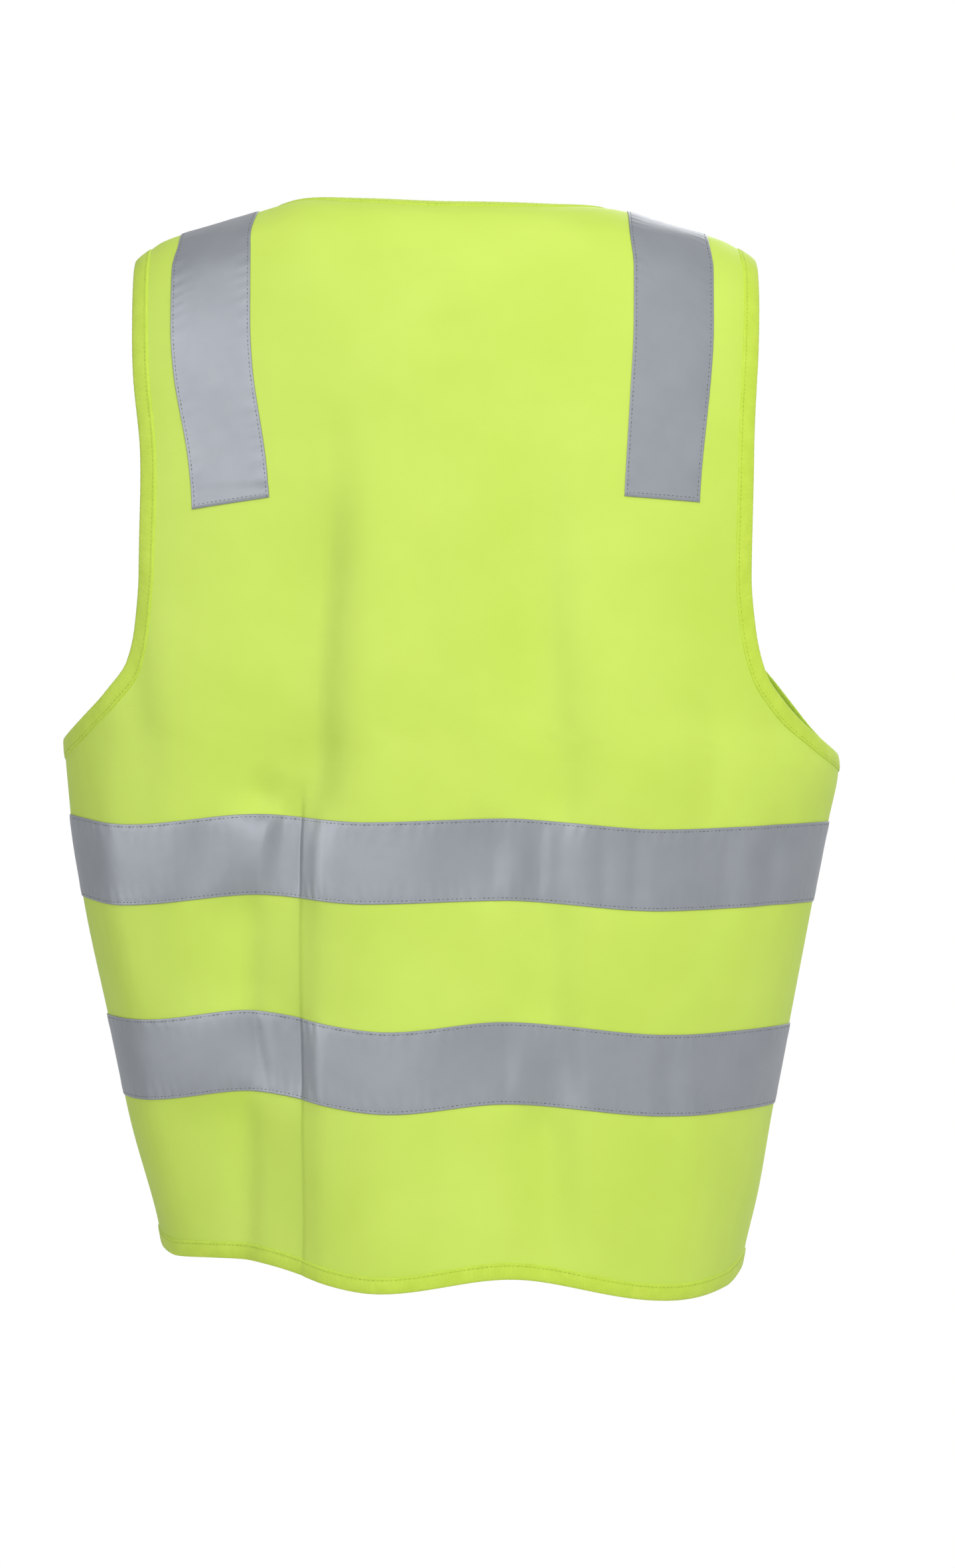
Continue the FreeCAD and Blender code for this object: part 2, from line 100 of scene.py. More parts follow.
# Shift of each shoulder tape outward, in mm: height against the shoulder seam, shift
SHOULDER_TAPE_OUT = {
    (BACK, -1): ((-200, 0), (-140, 2.8), (-70, 5), (-28, 5.4), (0, -1)),
    (BACK, 1): ((-200, 0), (-100, 0.7), (0, 1.5)),
    (FRONT, -1): ((-80, 0), (-30, -0.4), (0, -1)),
    (FRONT, 1): ((-80, 0), (-30, 0.7), (0, 1.5)),
}
NECK = (95 * MM, 52 * MM)
ZIP_TOP = -181 * MM
# Heights between which each level's crests and dips come in
SAG_STARTS = (
    (-190 * MM, -335 * MM),
    (-335 * MM, UPPER_TAPE),
    (UPPER_TAPE - TAPE, LOWER_TAPE),
    (LOWER_TAPE - TAPE, HEM + BINDING),
)

# Crests and dips of the back's cloth against its level lines, in mm: place across, rise
TOP_SAG = ((-205, -2), (-125, -3.5), (-85, 1), (-50, -1), (10, -3.8), (65, -3.8), (105, -2.2),
           (140, -3.3), (205, -1))
UNDERARM_SAG = ((-245, 0), (0, 0), (150, -2), (210, -9), (245, -9))
UPPER_SAG = ((-241, 3), (-198, -3), (-120, 4), (-50, -1.5), (36, 1), (130, -6), (241, -1.5))
LOWER_SAG = ((-214, 2), (-187, 1), (-130, 7.5), (-36, -4.3), (34, 2), (140, -7), (214, -4))
HEM_SAG = ((-186, 17), (-170, 11), (-130, 10), (-44, -5), (34, 3.8), (135, -12.4), (170, -8),
           (186, 2))
# Top sag dies out over this height below the shoulders; the fronts lose all sag over this depth
TOP_SAG_REACH = 110 * MM
FRONT_SAG_REACH = 100 * MM
# Sideways lean of the hanging cloth at its left and right outline, in mm: height, shift
LEAN = {
    -1: ((-740, 0.5), (-560, 0.5), (-450, -1), (-360, 0.5), (-250, -4), (-165, -0.7), (-110, -3),
         (-45, -2.6), (-31, -2.4), (-15, -5), (10, -6.5)),
    1: ((-740, 0.5), (-640, 0.5), (-560, -3), (-410, -3.5), (-350, 0.5), (-318, -5), (-190, -4),
        (-45, -4), (-20, -6.5), (10, -6.5)),
}
# Depths in front of the side seam between which the fronts lose the lean
LEAN_ENDS = (20 * MM, 110 * MM)

# Soft folds of the back, in mm: points down the fold, half width on its left and right, height
# (negative for a dip)
BACK_FOLDS = (
    (((-80, -90), (-74, -181), (-76, -239), (-82, -297), (-86, -355), (-92, -420), (-95, -560)),
     (60, 17), -12),
    (((-124, -270), (-128, -400), (-132, -480), (-134, -580), (-134, -680), (-134, -900)),
     (34, 46), -14.5),
    (((-118, -350), (-124, -400), (-130, -460), (-134, -560), (-136, -640), (-136, -900)),
     (10, 10), -3),
    (((-52, -150), (-46, -300), (-44, -400), (-44, -520), (-44, -800)), (24, 24), 2),
    (((-200, -190), (-196, -260), (-194, -320), (-186, -385)), (12, 12), -3),
    (((-214, -330), (-208, -420), (-194, -520), (-180, -620), (-170, -680), (-166, -800)),
     (15, 14), 5),
    (((58, -120), (64, -300), (66, -390), (62, -500), (62, -700)), (28, 15), -8.5),
    (((62, -480), (64, -900)), (28, 18), -7.5),
    (((10, -330), (6, -430), (16, -560), (20, -800)), (13, 13), -1.2),
    (((102, -240), (108, -400), (138, -500), (146, -560), (146, -900)), (24, 24), 3.5),
    (((166, -270), (162, -390), (160, -470)), (15, 13), -3.4),
    (((-12, -200), (-10, -285)), (13, 13), -1.2),
    (((4, -70), (8, -110)), (22, 22), -1.2),
)
# Sharper buckles of the stiff tapes, which in turn hold the soft folds flatter under them
TAPE_BUCKLES = (
    (((-111, -376), (-117, -408), (-126, -452)), (15, 5), 4.6),
    (((-158, -375), (-160, -455)), (6, 15), -3.2),
    (((27, -375), (28, -455)), (26, 11), -4.5),
    (((56, -375), (58, -455)), (10, 5), -3),
    (((95, -375), (97, -455)), (6, 6), -2),
    (((116, -375), (117, -455)), (6, 6), -2),
    (((176, -375), (174, -455)), (8, 7), -2.4),
    (((206, -375), (202, -455)), (9, 7), -3),
    (((-130, -500), (-127, -540), (-118, -580)), (14, 10), -5.5),
    (((34, -500), (36, -580)), (30, 8), -5),
    (((74, -500), (76, -580)), (13, 7), -3.6),
    (((138, -500), (136, -580)), (9, 8), -2.6),
)
# Share of a soft fold that a tape takes out, and how far up and down that reaches per tape width
TAPE_STIFFNESS = 0.4
TAPE_HOLD = 0.62
FRONT_FOLDS = (
    (((-120, -240), (-110, -400), (-104, -560), (-108, -800)), (18, 18), -3),
    (((-72, -230), (-76, -420), (-70, -800)), (16, 16), 2.5),
    (((128, -250), (120, -420), (112, -560), (110, -800)), (18, 18), -3),
    (((78, -230), (74, -420), (76, -800)), (16, 16), 2.5),
    (((-168, -330), (-160, -450), (-150, -800)), (13, 13), -2.5),
    (((170, -330), (158, -450), (146, -800)), (13, 13), -2.5),
)
# A fold fades at its ends over a length in mm, plus so much per mm of its height, but over no more
# than a share of the fold
FOLD_FADE = (30, 12, 0.42)
# Slight unevenness of all the cloth: two overlaid waves, the broad one and the fine one
BROAD_WAVE = 0.5 * MM
FINE_WAVE = 0.35 * MM
# Relief fades out over this depth beside the side seams and this height below the shoulders, and
# starts at this distance from the middle of the front, over this width
SEAM_CALM = 30 * MM
TOP_CALM = (4 * MM, 50 * MM)
ZIP_CALM = (26 * MM, 30 * MM)

# Packing crease down the back: where it runs, and the heights between which it comes in
CREASE_X = -95 * MM
CREASE_START = (-360 * MM, -390 * MM)
# Its depth on the cloth, and how much deeper it is under a tape
CREASE_DEPTH = 4 * MM
CREASE_DEPTH_AT_TAPE = 6 * MM
# In mm: the cloth sinks to it over a width on its left, and rises on its right first in a step of a
# share of the depth and then down a slope with a soft end
CREASE_LEFT = 45
CREASE_STEP = (0.2, 2.6)
CREASE_SLOPE = 15
CREASE_SOFT_END = 0.25

# Layers, in mm off the middle of the cloth
CLOTH = 0.3
LINING = (-0.6, -1.1)
# The cloth ends this far inside the fold of its binding
CLOTH_INSET = 0.8 * MM
# Folded binding, in mm, from its edge outside round the edge of the cloth to its edge inside:
# distance inward, height
BINDING_SECTION = (
    (10, 0.4), (9.7, 0.95), (8.8, 1.05), (8.2, 0.85), (7.5, 1.08), (4.5, 1.2), (1.6, 1.12),
    (0.4, 0.8), (-0.15, 0.25), (-0.15, -0.25), (0.4, -0.8), (1.6, -1.1), (5, -1.15),
    (8.6, -1.05), (9.7, -0.95), (10, -0.4),
)
# Small gathers along the binding: length of one, height
BINDING_GATHER = (4.3 * MM, 0.09 * MM)
# Reflective tape across its width, in mm: distance from one edge, height; the far half mirrors it
TAPE_HALF = ((0, 0.84), (0.4, 0.93), (0.9, 0.96), (1.7, 0.87), (2.7, 0.97), (5.5, 1.0), (10, 1.0),
             (17, 1.0))
TAPE_FAR_HALF = tuple((TAPE / MM - v, lift) for v, lift in reversed(TAPE_HALF))
TAPE_SECTION = (*TAPE_HALF, (25, 1.0), *TAPE_FAR_HALF)
TAPE_UNDER = 0.38
# Puckers of the tape beside its stitches: height, length of one along each edge, and in mm how far
# in from the edge they are highest and how far they spread
PUCKER = 0.2 * MM
PUCKER_LENGTH = (9.2 * MM, 8.1 * MM)
PUCKER_IN = 4
PUCKER_SPREAD = 3.2

# Rows of stitches: distance in from the edge of the tape or binding
STITCH_IN = 1.7 * MM
BINDING_STITCH_IN = 8.2 * MM
# Thread: radius, length of a stitch, distance from one to the next
TAPE_THREAD = (0.19 * MM, 1.6 * MM, 2.8 * MM)
EDGE_THREAD = (0.22 * MM, 2.0 * MM, 2.8 * MM)
OVERLOCK_RADIUS = 0.18 * MM
OVERLOCK_STEP = 1.4 * MM
# Heights of the rows off the middle of the cloth, in mm, outside and inside
TAPE_THREAD_LIFTS = (0.84, -CLOTH - 0.05)
BINDING_THREAD_LIFTS = (0.9, -1.1)
ZIP_THREAD_LIFTS = (CLOTH + 0.05, LINING[1] - 0.05)
# The row across the end of a shoulder tape stands this much higher
TAPE_END_LIFT = 0.1
# Distances of the two rows that hold each zip tape, from the front edge
ZIP_STITCH_IN = (2.5 * MM, 7 * MM)


def smooth(pairs):
    """Curve without overshoot through (place, value) pairs in mm, as a function in metres."""
    xs, ys = np.array(sorted(pairs), float).T * MM
    step = np.diff(xs)
    rise = np.diff(ys) / step
    slope = np.empty_like(ys)
    product = rise[:-1] * rise[1:]
    total = np.where(np.abs(rise[:-1] + rise[1:]) < 1e-12, 1, rise[:-1] + rise[1:])
    slope[1:-1] = np.where(product > 0, 2 * product / total, 0)
    slope[0], slope[-1] = rise[0], rise[-1]

    def value(x):
        x = np.clip(x, xs[0], xs[-1])
        k = np.clip(np.searchsorted(xs, x) - 1, 0, len(step) - 1)
        h = step[k]
        t = (x - xs[k]) / h
        return (
            (1 + 2 * t) * (1 - t) ** 2 * ys[k] + t * (1 - t) ** 2 * h * slope[k]
            + t * t * (3 - 2 * t) * ys[k + 1] + t * t * (t - 1) * h * slope[k + 1]
        )

    return value


def ease(t):
    """0 to 1 with a soft start and end."""
    t = np.clip(t, 0, 1)
    return t * t * (3 - 2 * t)


half_width, *depths = (smooth([(ring[0], ring[k]) for ring in RINGS]) for k in (1, 2, 3))
depth = dict(zip((BACK, FRONT), depths))
sags = [smooth(table) for table in (UNDERARM_SAG, UPPER_SAG, LOWER_SAG, HEM_SAG)]
top_sag = smooth(TOP_SAG)
leans = {sign: smooth(table) for sign, table in LEAN.items()}
tape_out = {where: smooth(table) for where, table in SHOULDER_TAPE_OUT.items()}


def lean(x, z):
    """Sideways shift of the cloth, between those of its two outlines."""
    share = np.clip(x / half_width(z), -1, 1)
    return (leans[-1](z) * (1 - share) + leans[1](z) * (1 + share)) / 2


def distance_to(points, x, z):
    """Distance of each (x, z) from a line, negative on its left, and share of the way along it."""
    best = np.full(np.shape(x), 1e9)
    along = np.zeros(np.shape(x))
    ends = np.array(points, float) * MM
    for index, (start, end) in enumerate(zip(ends, ends[1:])):
        run = end - start
        t = np.clip(((x - start[0]) * run[0] + (z - start[1]) * run[1]) / (run @ run), 0, 1)
        gap = np.hypot(x - start[0] - t * run[0], z - start[1] - t * run[1])
        nearer = gap < np.abs(best)
        along = np.where(nearer, (index + t) / (len(ends) - 1), along)
        across = (z - start[1]) * run[0] - (x - start[0]) * run[1]
        best = np.where(nearer, np.copysign(gap, across), best)
    return best, along


def folds(table, x, z):
    """Height of all the folds of a table."""
    least, per_height, limit = FOLD_FADE
    out = np.zeros(np.shape(x))
    for points, (left, right), height in table:
        gap, along = distance_to(points, x, z)
        ends = min((least + per_height * abs(height)) / math.dist(points[0], points[-1]), limit)
        fade = ease(along / ends) * ease((1 - along) / ends)
        half = np.where(gap < 0, left * MM, right * MM)
        out = out + height * MM * fade * np.exp(-((gap / half) ** 2))
    return out


def under_tape(z):
    """1 in the middle of a waist tape, easing to 0 above and below it."""
    reach = TAPE_HOLD * TAPE
    middles = (UPPER_TAPE - TAPE / 2, LOWER_TAPE - TAPE / 2)
    return sum(np.exp(-(((z - middle) / reach) ** 4)) for middle in middles)


def unevenness(x, z):
    """Slight waves all over the cloth, of no regular length."""
    broad = np.sin(x / 0.031 + 1.7 * np.sin(z / 0.083)) * np.sin(z / 0.057 + 0.6)
    fine = np.sin(x / 0.017 + z / 0.049 + 2 * np.sin(z / 0.11)) * np.sin(z / 0.035 + x / 0.09)
    return BROAD_WAVE * broad + FINE_WAVE * fine


def relief(side, x, y, z):
    """How far the cloth stands out from the plain form."""
    soft = folds(BACK_FOLDS if side == BACK else FRONT_FOLDS, x, z)
    out = soft * (1 - TAPE_STIFFNESS * under_tape(z)) + unevenness(x, z)
    if side == BACK:
        out = out + folds(TAPE_BUCKLES, x, z) - crease(x, z)
    out = out * ease(np.abs(y) / SEAM_CALM)
    if side == FRONT:
        start, width = ZIP_CALM
        out = out * ease((np.abs(x) - start) / width)
    top, reach = TOP_CALM
    return out * ease((top - z) / reach)


def crease(x, z):
    """Depth of the packing crease."""
    start, full = CREASE_START
    started = ease((start - z) / (start - full))
    step, step_width = CREASE_STEP
    from_crease = (x - CREASE_X) / MM
    plain_slope = 1 - from_crease / CREASE_SLOPE
    soft_end = np.clip(plain_slope + CREASE_SOFT_END, 0, None) ** 2 / (4 * CREASE_SOFT_END)
    slope = np.where(plain_slope > CREASE_SOFT_END, plain_slope, soft_end)
    right = step * (1 - ease(from_crease / step_width)) + (1 - step) * slope
    left = ease(1 + from_crease / CREASE_LEFT)
    depth_here = CREASE_DEPTH + CREASE_DEPTH_AT_TAPE * under_tape(z)
    return depth_here * np.where(from_crease < 0, left, right) * started


def sag(side, x, y, z):
    """Rise or fall of the hanging cloth."""
    across = x if side == BACK else np.sign(x) * half_width(z)
    drop = 0
    for table, (start, end) in zip(sags, SAG_STARTS):
        level = table(across)
        drop = drop + (level - drop) * ease((start - z) / (start - end))
    if side == FRONT:
        drop = drop * (1 - ease(y / FRONT_SAG_REACH))
    return drop + top_sag(x) * (1 - ease(-z / TOP_SAG_REACH))


def place(side, turn, z, lift=0.0):
    """Points on the hanging cloth at an angle round it and a height, standing off it by lift."""
    turn, z = np.broadcast_arrays(np.asarray(turn, float), np.asarray(z, float))
    a, b = half_width(z), depth[side](z)
    small = 0.5 * MM
    slope_a = (half_width(z + small) - half_width(z - small)) / (2 * small)
    slope_b = (depth[side](z + small) - depth[side](z - small)) / (2 * small)
    x, y = a * np.sin(turn), side * b * np.cos(turn)
    normal = np.stack([x / a**2, y / b**2, -(x * x * slope_a / a**3 + y * y * slope_b / b**3)], -1)
    normal /= np.linalg.norm(normal, axis=-1, keepdims=True)
    out = relief(side, x, y, z) + lift
    point = np.stack([x, y, z], -1) + normal * out[..., None]
    point[..., 2] += sag(side, x, y, z)
    start, end = LEAN_ENDS
    point[..., 0] += lean(x, z) * (1 - ease((point[..., 1] - start) / (end - start)))
    return point


def turn_at(x, z):
    """Angle round the vest of a point that far out at that height."""
    return np.arcsin(np.clip(x / half_width(z), -1, 1))


def edge_curve(points):
    """Distance from the middle by height, along an edge."""
    return smooth([(height, out) for out, height in points])


def edge_reach(side, z):
    """How far out the cloth runs at each height."""
    lowest = ARMHOLE[side][-1][1] * MM
    return np.where(z < lowest, 1.0, edge_curve(ARMHOLE[side])(z)) - CLOTH_INSET


def neck_reach(z):
    """How far out the front cloth starts at each height."""
    return np.maximum(edge_curve(NECKLINE)(z) + CLOTH_INSET, FRONT_EDGE)


# Meshes


def add_object(name, data):
    """New object in the scene."""
    made = bpy.data.objects.new(name, data)
    bpy.context.scene.collection.objects.link(made)
    return made


def new_object(name, points, quads, material, uvs=None):
    """Closed mesh object, its faces outward; uvs is one pair per point, in metres."""
    a, b, c, d = (points[quads[:, k]] for k in range(4))
    if (a * (np.cross(b, c) + np.cross(c, d))).sum() < 0:
        quads = quads[:, ::-1]
    mesh = bpy.data.meshes.new(name)
    mesh.from_pydata(points.tolist(), [], quads.tolist())
    mesh.materials.append(material)
    if uvs is not None:
        layer = mesh.uv_layers.new(name="cloth")
        layer.data.foreach_set("uv", np.asarray(uvs, np.float32)[quads.ravel()].ravel())
    mesh.polygons.foreach_set("use_smooth", [True] * len(mesh.polygons))
    mesh.update()
    return add_object(name, mesh)


def grid_quads(index):
    """Quads between the numbers of a grid of points."""
    corners = [index[:-1, :-1], index[:-1, 1:], index[1:, 1:], index[1:, :-1]]
    return np.stack(corners, -1).reshape(-1, 4)


def lengths(points, axis):
    """Running length along one axis of a grid of points, in metres."""
    run = np.linalg.norm(np.diff(points, axis=axis), axis=-1)
    start = np.zeros_like(np.take(run, [0], axis))
    return np.concatenate([start, np.cumsum(run, axis=axis)], axis)


def closed_sheet(name, top, bottom, material):
    """Thin closed piece between two grids of points of the same size."""
    rows, columns = top.shape[:2]
    index = np.arange(rows * columns).reshape(rows, columns)
    rim = np.concatenate([index[0, :], index[1:, -1], index[-1, -2::-1], index[-2:0:-1, 0]])
    after = np.roll(rim, -1)
    below = rows * columns
    wall = np.stack([rim, rim + below, after + below, after], -1)
    quads = np.concatenate([grid_quads(index), grid_quads(index)[:, ::-1] + below, wall])
    across = lengths(top, 1)
    across = across - across[:, [columns // 2]]
    down = np.broadcast_to(lengths(top, 0)[:, [columns // 2]], across.shape)
    uvs = np.stack([across, down], -1).reshape(-1, 2)
    points = np.concatenate([top.reshape(-1, 3), bottom.reshape(-1, 3)])
    return new_object(name, points, quads, material, np.concatenate([uvs, uvs]))


def tube(name, rings, material):
    """Closed strip through an array of points (place round the section, step along, xyz)."""
    around, steps = rings.shape[:2]
    index = np.arange(around * steps).reshape(around, steps)
    quads = [grid_quads(np.concatenate([index, index[:1]]))]
    for end, order in ((index[:, 0], 1), (index[:, -1], -1)):
        folded = np.stack([end[: around // 2], end[: around // 2 - 1 : -1]])
        quads.append(grid_quads(folded)[:, ::order])
    along = lengths(rings, 1).mean(axis=0)[None, :] + np.zeros((around, 1))
    across = lengths(rings, 0).mean(axis=1)[:, None] + np.zeros((1, steps))
    uvs = np.stack([along, across], -1).reshape(-1, 2)
    return new_object(name, rings.reshape(-1, 3), np.concatenate(quads), material, uvs)


def resample(line, step=None, count=None):
    """Rows spaced evenly along a line of points; columns after the third go along with them."""
    run = lengths(line[:, :3], 0)
    count = count or max(int(round(run[-1] / step)), 2)
    at = np.linspace(0, run[-1], count)
    return np.stack([np.interp(at, run, line[:, k]) for k in range(line.shape[1])], -1)


def even(turn, z, count):
    """Angle and height of points spaced evenly along a line on the plain form."""
    x = half_width(z) * np.sin(turn)
    y = half_width(z) * np.cos(turn) * 0.5
    line = resample(np.stack([x, y, z, turn], -1), count=count)
    return line[:, 3], line[:, 2]


def height_at(side, x, y):
    """Height of the plain form over a point of its plan, found by halving."""
    low, high = np.full(np.shape(x), -0.12), np.full(np.shape(x), 0.006)
    for _ in range(40):
        middle = (low + high) / 2
        inside = (x / half_width(middle)) ** 2 + (y / depth[side](middle)) ** 2 < 1
        low, high = np.where(inside, middle, low), np.where(inside, high, middle)
    return (low + high) / 2


# Lines on the cloth: each gives (angle, height) arrays

LINE_POINTS = 400
OUTLINE_POINTS = 900
SHORT_LINE_POINTS = 300


def outline_line(points, sign, inward, inner_limit):
    """Line at a distance inside a sewn edge, cut off at the shoulder, the side and inner_limit."""
    past_end = 20 * MM
    z = np.linspace(points[0][1], points[-1][1], LINE_POINTS) * MM
    line = np.stack([edge_curve(points)(z), z], -1)
    last_step = line[-1] - line[-2]
    line = np.concatenate([line, line[-1:] + last_step / np.hypot(*last_step) * past_end])
    line = resample(line, count=OUTLINE_POINTS)
    run = np.gradient(line, axis=0)
    run /= np.linalg.norm(run, axis=-1, keepdims=True)
    side = 1 if inner_limit else -1
    line = line + side * inward * np.stack([-run[:, 1], run[:, 0]], -1)
    room = np.minimum(half_width(line[:, 1]) - line[:, 0], line[:, 0] - inner_limit)
    kept = np.flatnonzero(room >= 0)
    first, last = kept[0], kept[-1]
    ends = []
    for inside, outside in ((first, max(first - 1, 0)), (last, min(last + 1, len(line) - 1))):
        share = room[inside] / max(room[inside] - room[outside], 1e-12)
        ends.append(line[inside] + (line[outside] - line[inside]) * share)
    line = np.concatenate([ends[:1], line[first:last + 1], ends[1:]])
    return sign * turn_at(line[:, 0], line[:, 1]), line[:, 1]


def level_line(z, sign):
    """Line round one front at one height, from the zip to the side; with sign 0 round the back."""
    start = sign * turn_at(FRONT_EDGE, z) if sign else -math.pi / 2
    end = (sign or 1) * math.pi / 2
    return np.linspace(start, end, LINE_POINTS), np.full(LINE_POINTS, z)


def back_neck_line(inward):
    """Line inside the back of the neck edge."""
    turn = np.linspace(-math.pi / 2, math.pi / 2, SHORT_LINE_POINTS)
    x, y = (NECK[0] + inward) * np.sin(turn), (NECK[1] + inward) * np.cos(turn)
    z = height_at(BACK, x, y)
    return turn_at(x, z), z


def heights_down(top, bottom):
    """Heights down a line, closer together near its top."""
    return top + (bottom - top) * np.linspace(0, 1, SHORT_LINE_POINTS) ** 2


def upright_line(x, bottom, top):
    """Line down the vest at one distance from the middle."""
    z = heights_down(top, bottom)
    return turn_at(np.full(SHORT_LINE_POINTS, x), z), z


def shoulder_tape_line(side, sign, across):
    """Line down a shoulder tape at a distance from its inner edge."""
    x = SHOULDER_TAPE_FROM_MIDDLE + across
    outward = tape_out[side, sign]
    top, bottom = float(height_at(BACK, x + outward(0.0), 0.0)), SHOULDER_TAPE_END[side]
    if side == BACK:
        bottom = bottom - across * SHOULDER_TAPE_SLOPE[sign]
    z = heights_down(top, bottom)
    if side == BACK:
        (shift, narrowing), (start, end) = SHOULDER_TAPE_IN, SHOULDER_TAPE_IN_RUN
        x = x - (shift + narrowing * across) * ease((start - z) / (start - end))
    x = x + outward(z - top)
    return sign * turn_at(x, z), z


# Pieces that lie on the cloth


def ripple(run, wave):
    """Uneven small waves along a sewn line, between -1 and 1."""
    return np.sin(run / wave * math.tau + 1.6 * np.sin(run / (wave * 5.3) * math.tau))


def binding(name, side, line_at, count, material):
    """Folded binding round an edge; line_at(distance inward) gives a line on the cloth."""
    rings = []
    gather_length, gather_height = BINDING_GATHER
    for inward, lift in BINDING_SECTION:
        turn, z = even(*line_at(inward * MM), count)
        run = lengths(place(side, turn, z), 0)
        gather = ripple(run, gather_length) * gather_height * math.copysign(1, lift)
        rings.append(place(side, turn, z, lift * MM + gather))
    return tube(name, np.array(rings), material)


def tape(name, side, lines, count, material):
    """Strip sewn on the cloth along parallel lines, puckered near its stitches."""
    top, bottom = [], []
    near_length, far_length = PUCKER_LENGTH
    for line, (across, lift) in zip(lines, TAPE_SECTION):
        turn, z = even(*line, count)
        run = lengths(place(side, turn, z), 0)
        from_edge = min(across, TAPE / MM - across)
        wave = ripple(run, near_length if across <= from_edge else far_length)
        near_stitches = math.exp(-(((from_edge - PUCKER_IN) / PUCKER_SPREAD) ** 2))
        top.append(place(side, turn, z, lift * MM + wave * PUCKER * near_stitches))
        bottom.append(place(side, turn, z, TAPE_UNDER * MM))
    return closed_sheet(name, np.array(top), np.array(bottom), material)


class Stitches:
    """Rows of thread on one body, gathered into one mesh."""

    CORNERS = 6
    # Rings of one stitch: place along its half length, then size and rise per radius of the thread
    RINGS = ((-1, 0.45, -0.7), (-0.6, 1, 0.15), (0.6, 1, 0.15), (1, 0.45, -0.7))
    # The first stitch of a row starts at this share of the pitch
    START = 0.3

    def __init__(self, radius, dash=0.0, pitch=0.0):
        self.radius, self.dash, self.pitch = radius, dash, pitch
        self.starts, self.ends, self.normals = [], [], []

    def row(self, side, line, lift):
        """Add a row of stitches along a line on the cloth; a negative lift is on its inside."""
        inner = place(side, *line, lift * MM)
        outer = place(side, *line, (lift + math.copysign(1, lift)) * MM)
        rows = np.concatenate([inner, outer - inner], -1)
        run = lengths(inner, 0)
        begin = np.arange(self.pitch * self.START, run[-1] - self.dash, self.pitch)
        ends = [np.stack([np.interp(at, run, rows[:, k]) for k in range(6)], -1)
                for at in (begin, begin + self.dash)]
        self.add(ends[0][:, :3], ends[1][:, :3], ends[0][:, 3:])

    def add(self, starts, ends, normals):
        """Add single stitches."""
        self.starts.append(starts)
        self.ends.append(ends)
        self.normals.append(normals / np.linalg.norm(normals, axis=-1, keepdims=True))

    def mesh(self, name, material):
        """One closed bead of thread for each stitch, its ends sunk into the cloth."""
        start, end = np.concatenate(self.starts), np.concatenate(self.ends)
        normal = np.concatenate(self.normals)
        along = (end - start) / np.linalg.norm(end - start, axis=-1, keepdims=True)
        across = np.cross(normal, along)
        middle, reach = (start + end) / 2, (end - start) / 2
        corners = []
        for place_along, size, rise in self.RINGS:
            for corner in range(self.CORNERS):
                angle = corner * math.tau / self.CORNERS
                offset = size * (math.cos(angle) * across + math.sin(angle) * normal)
                raised = self.radius * (rise * normal + offset)
                corners.append(middle + place_along * reach + raised)
        points = np.stack(corners, 1)
        index = np.arange(len(corners)).reshape(len(self.RINGS), self.CORNERS)
        sides = grid_quads(np.concatenate([index, index[:, :1]], 1))
        first, last = index[0], index[-1]
        caps = [first[[0, 1, 4, 5]], first[[1, 2, 3, 4]], last[[0, 5, 4, 1]], last[[1, 4, 3, 2]]]
        pattern = np.concatenate([sides[:, ::-1], caps])
        quads = (np.arange(len(points))[:, None, None] * len(corners) + pattern).reshape(-1, 4)
        return new_object(name, points.reshape(-1, 3), quads, material)


# Materials


def add_node(tree, kind, inputs=(), **settings):
    """Add a node to a tree; inputs are values or other sockets, by name or number."""
    node = tree.nodes.new(kind)
    for key, value in settings.items():
        setattr(node, key, value)
    for key, value in dict(inputs).items():
        if isinstance(value, bpy.types.NodeSocket):
            tree.links.new(value, node.inputs[key])
        else:
            node.inputs[key].default_value = value
    return node


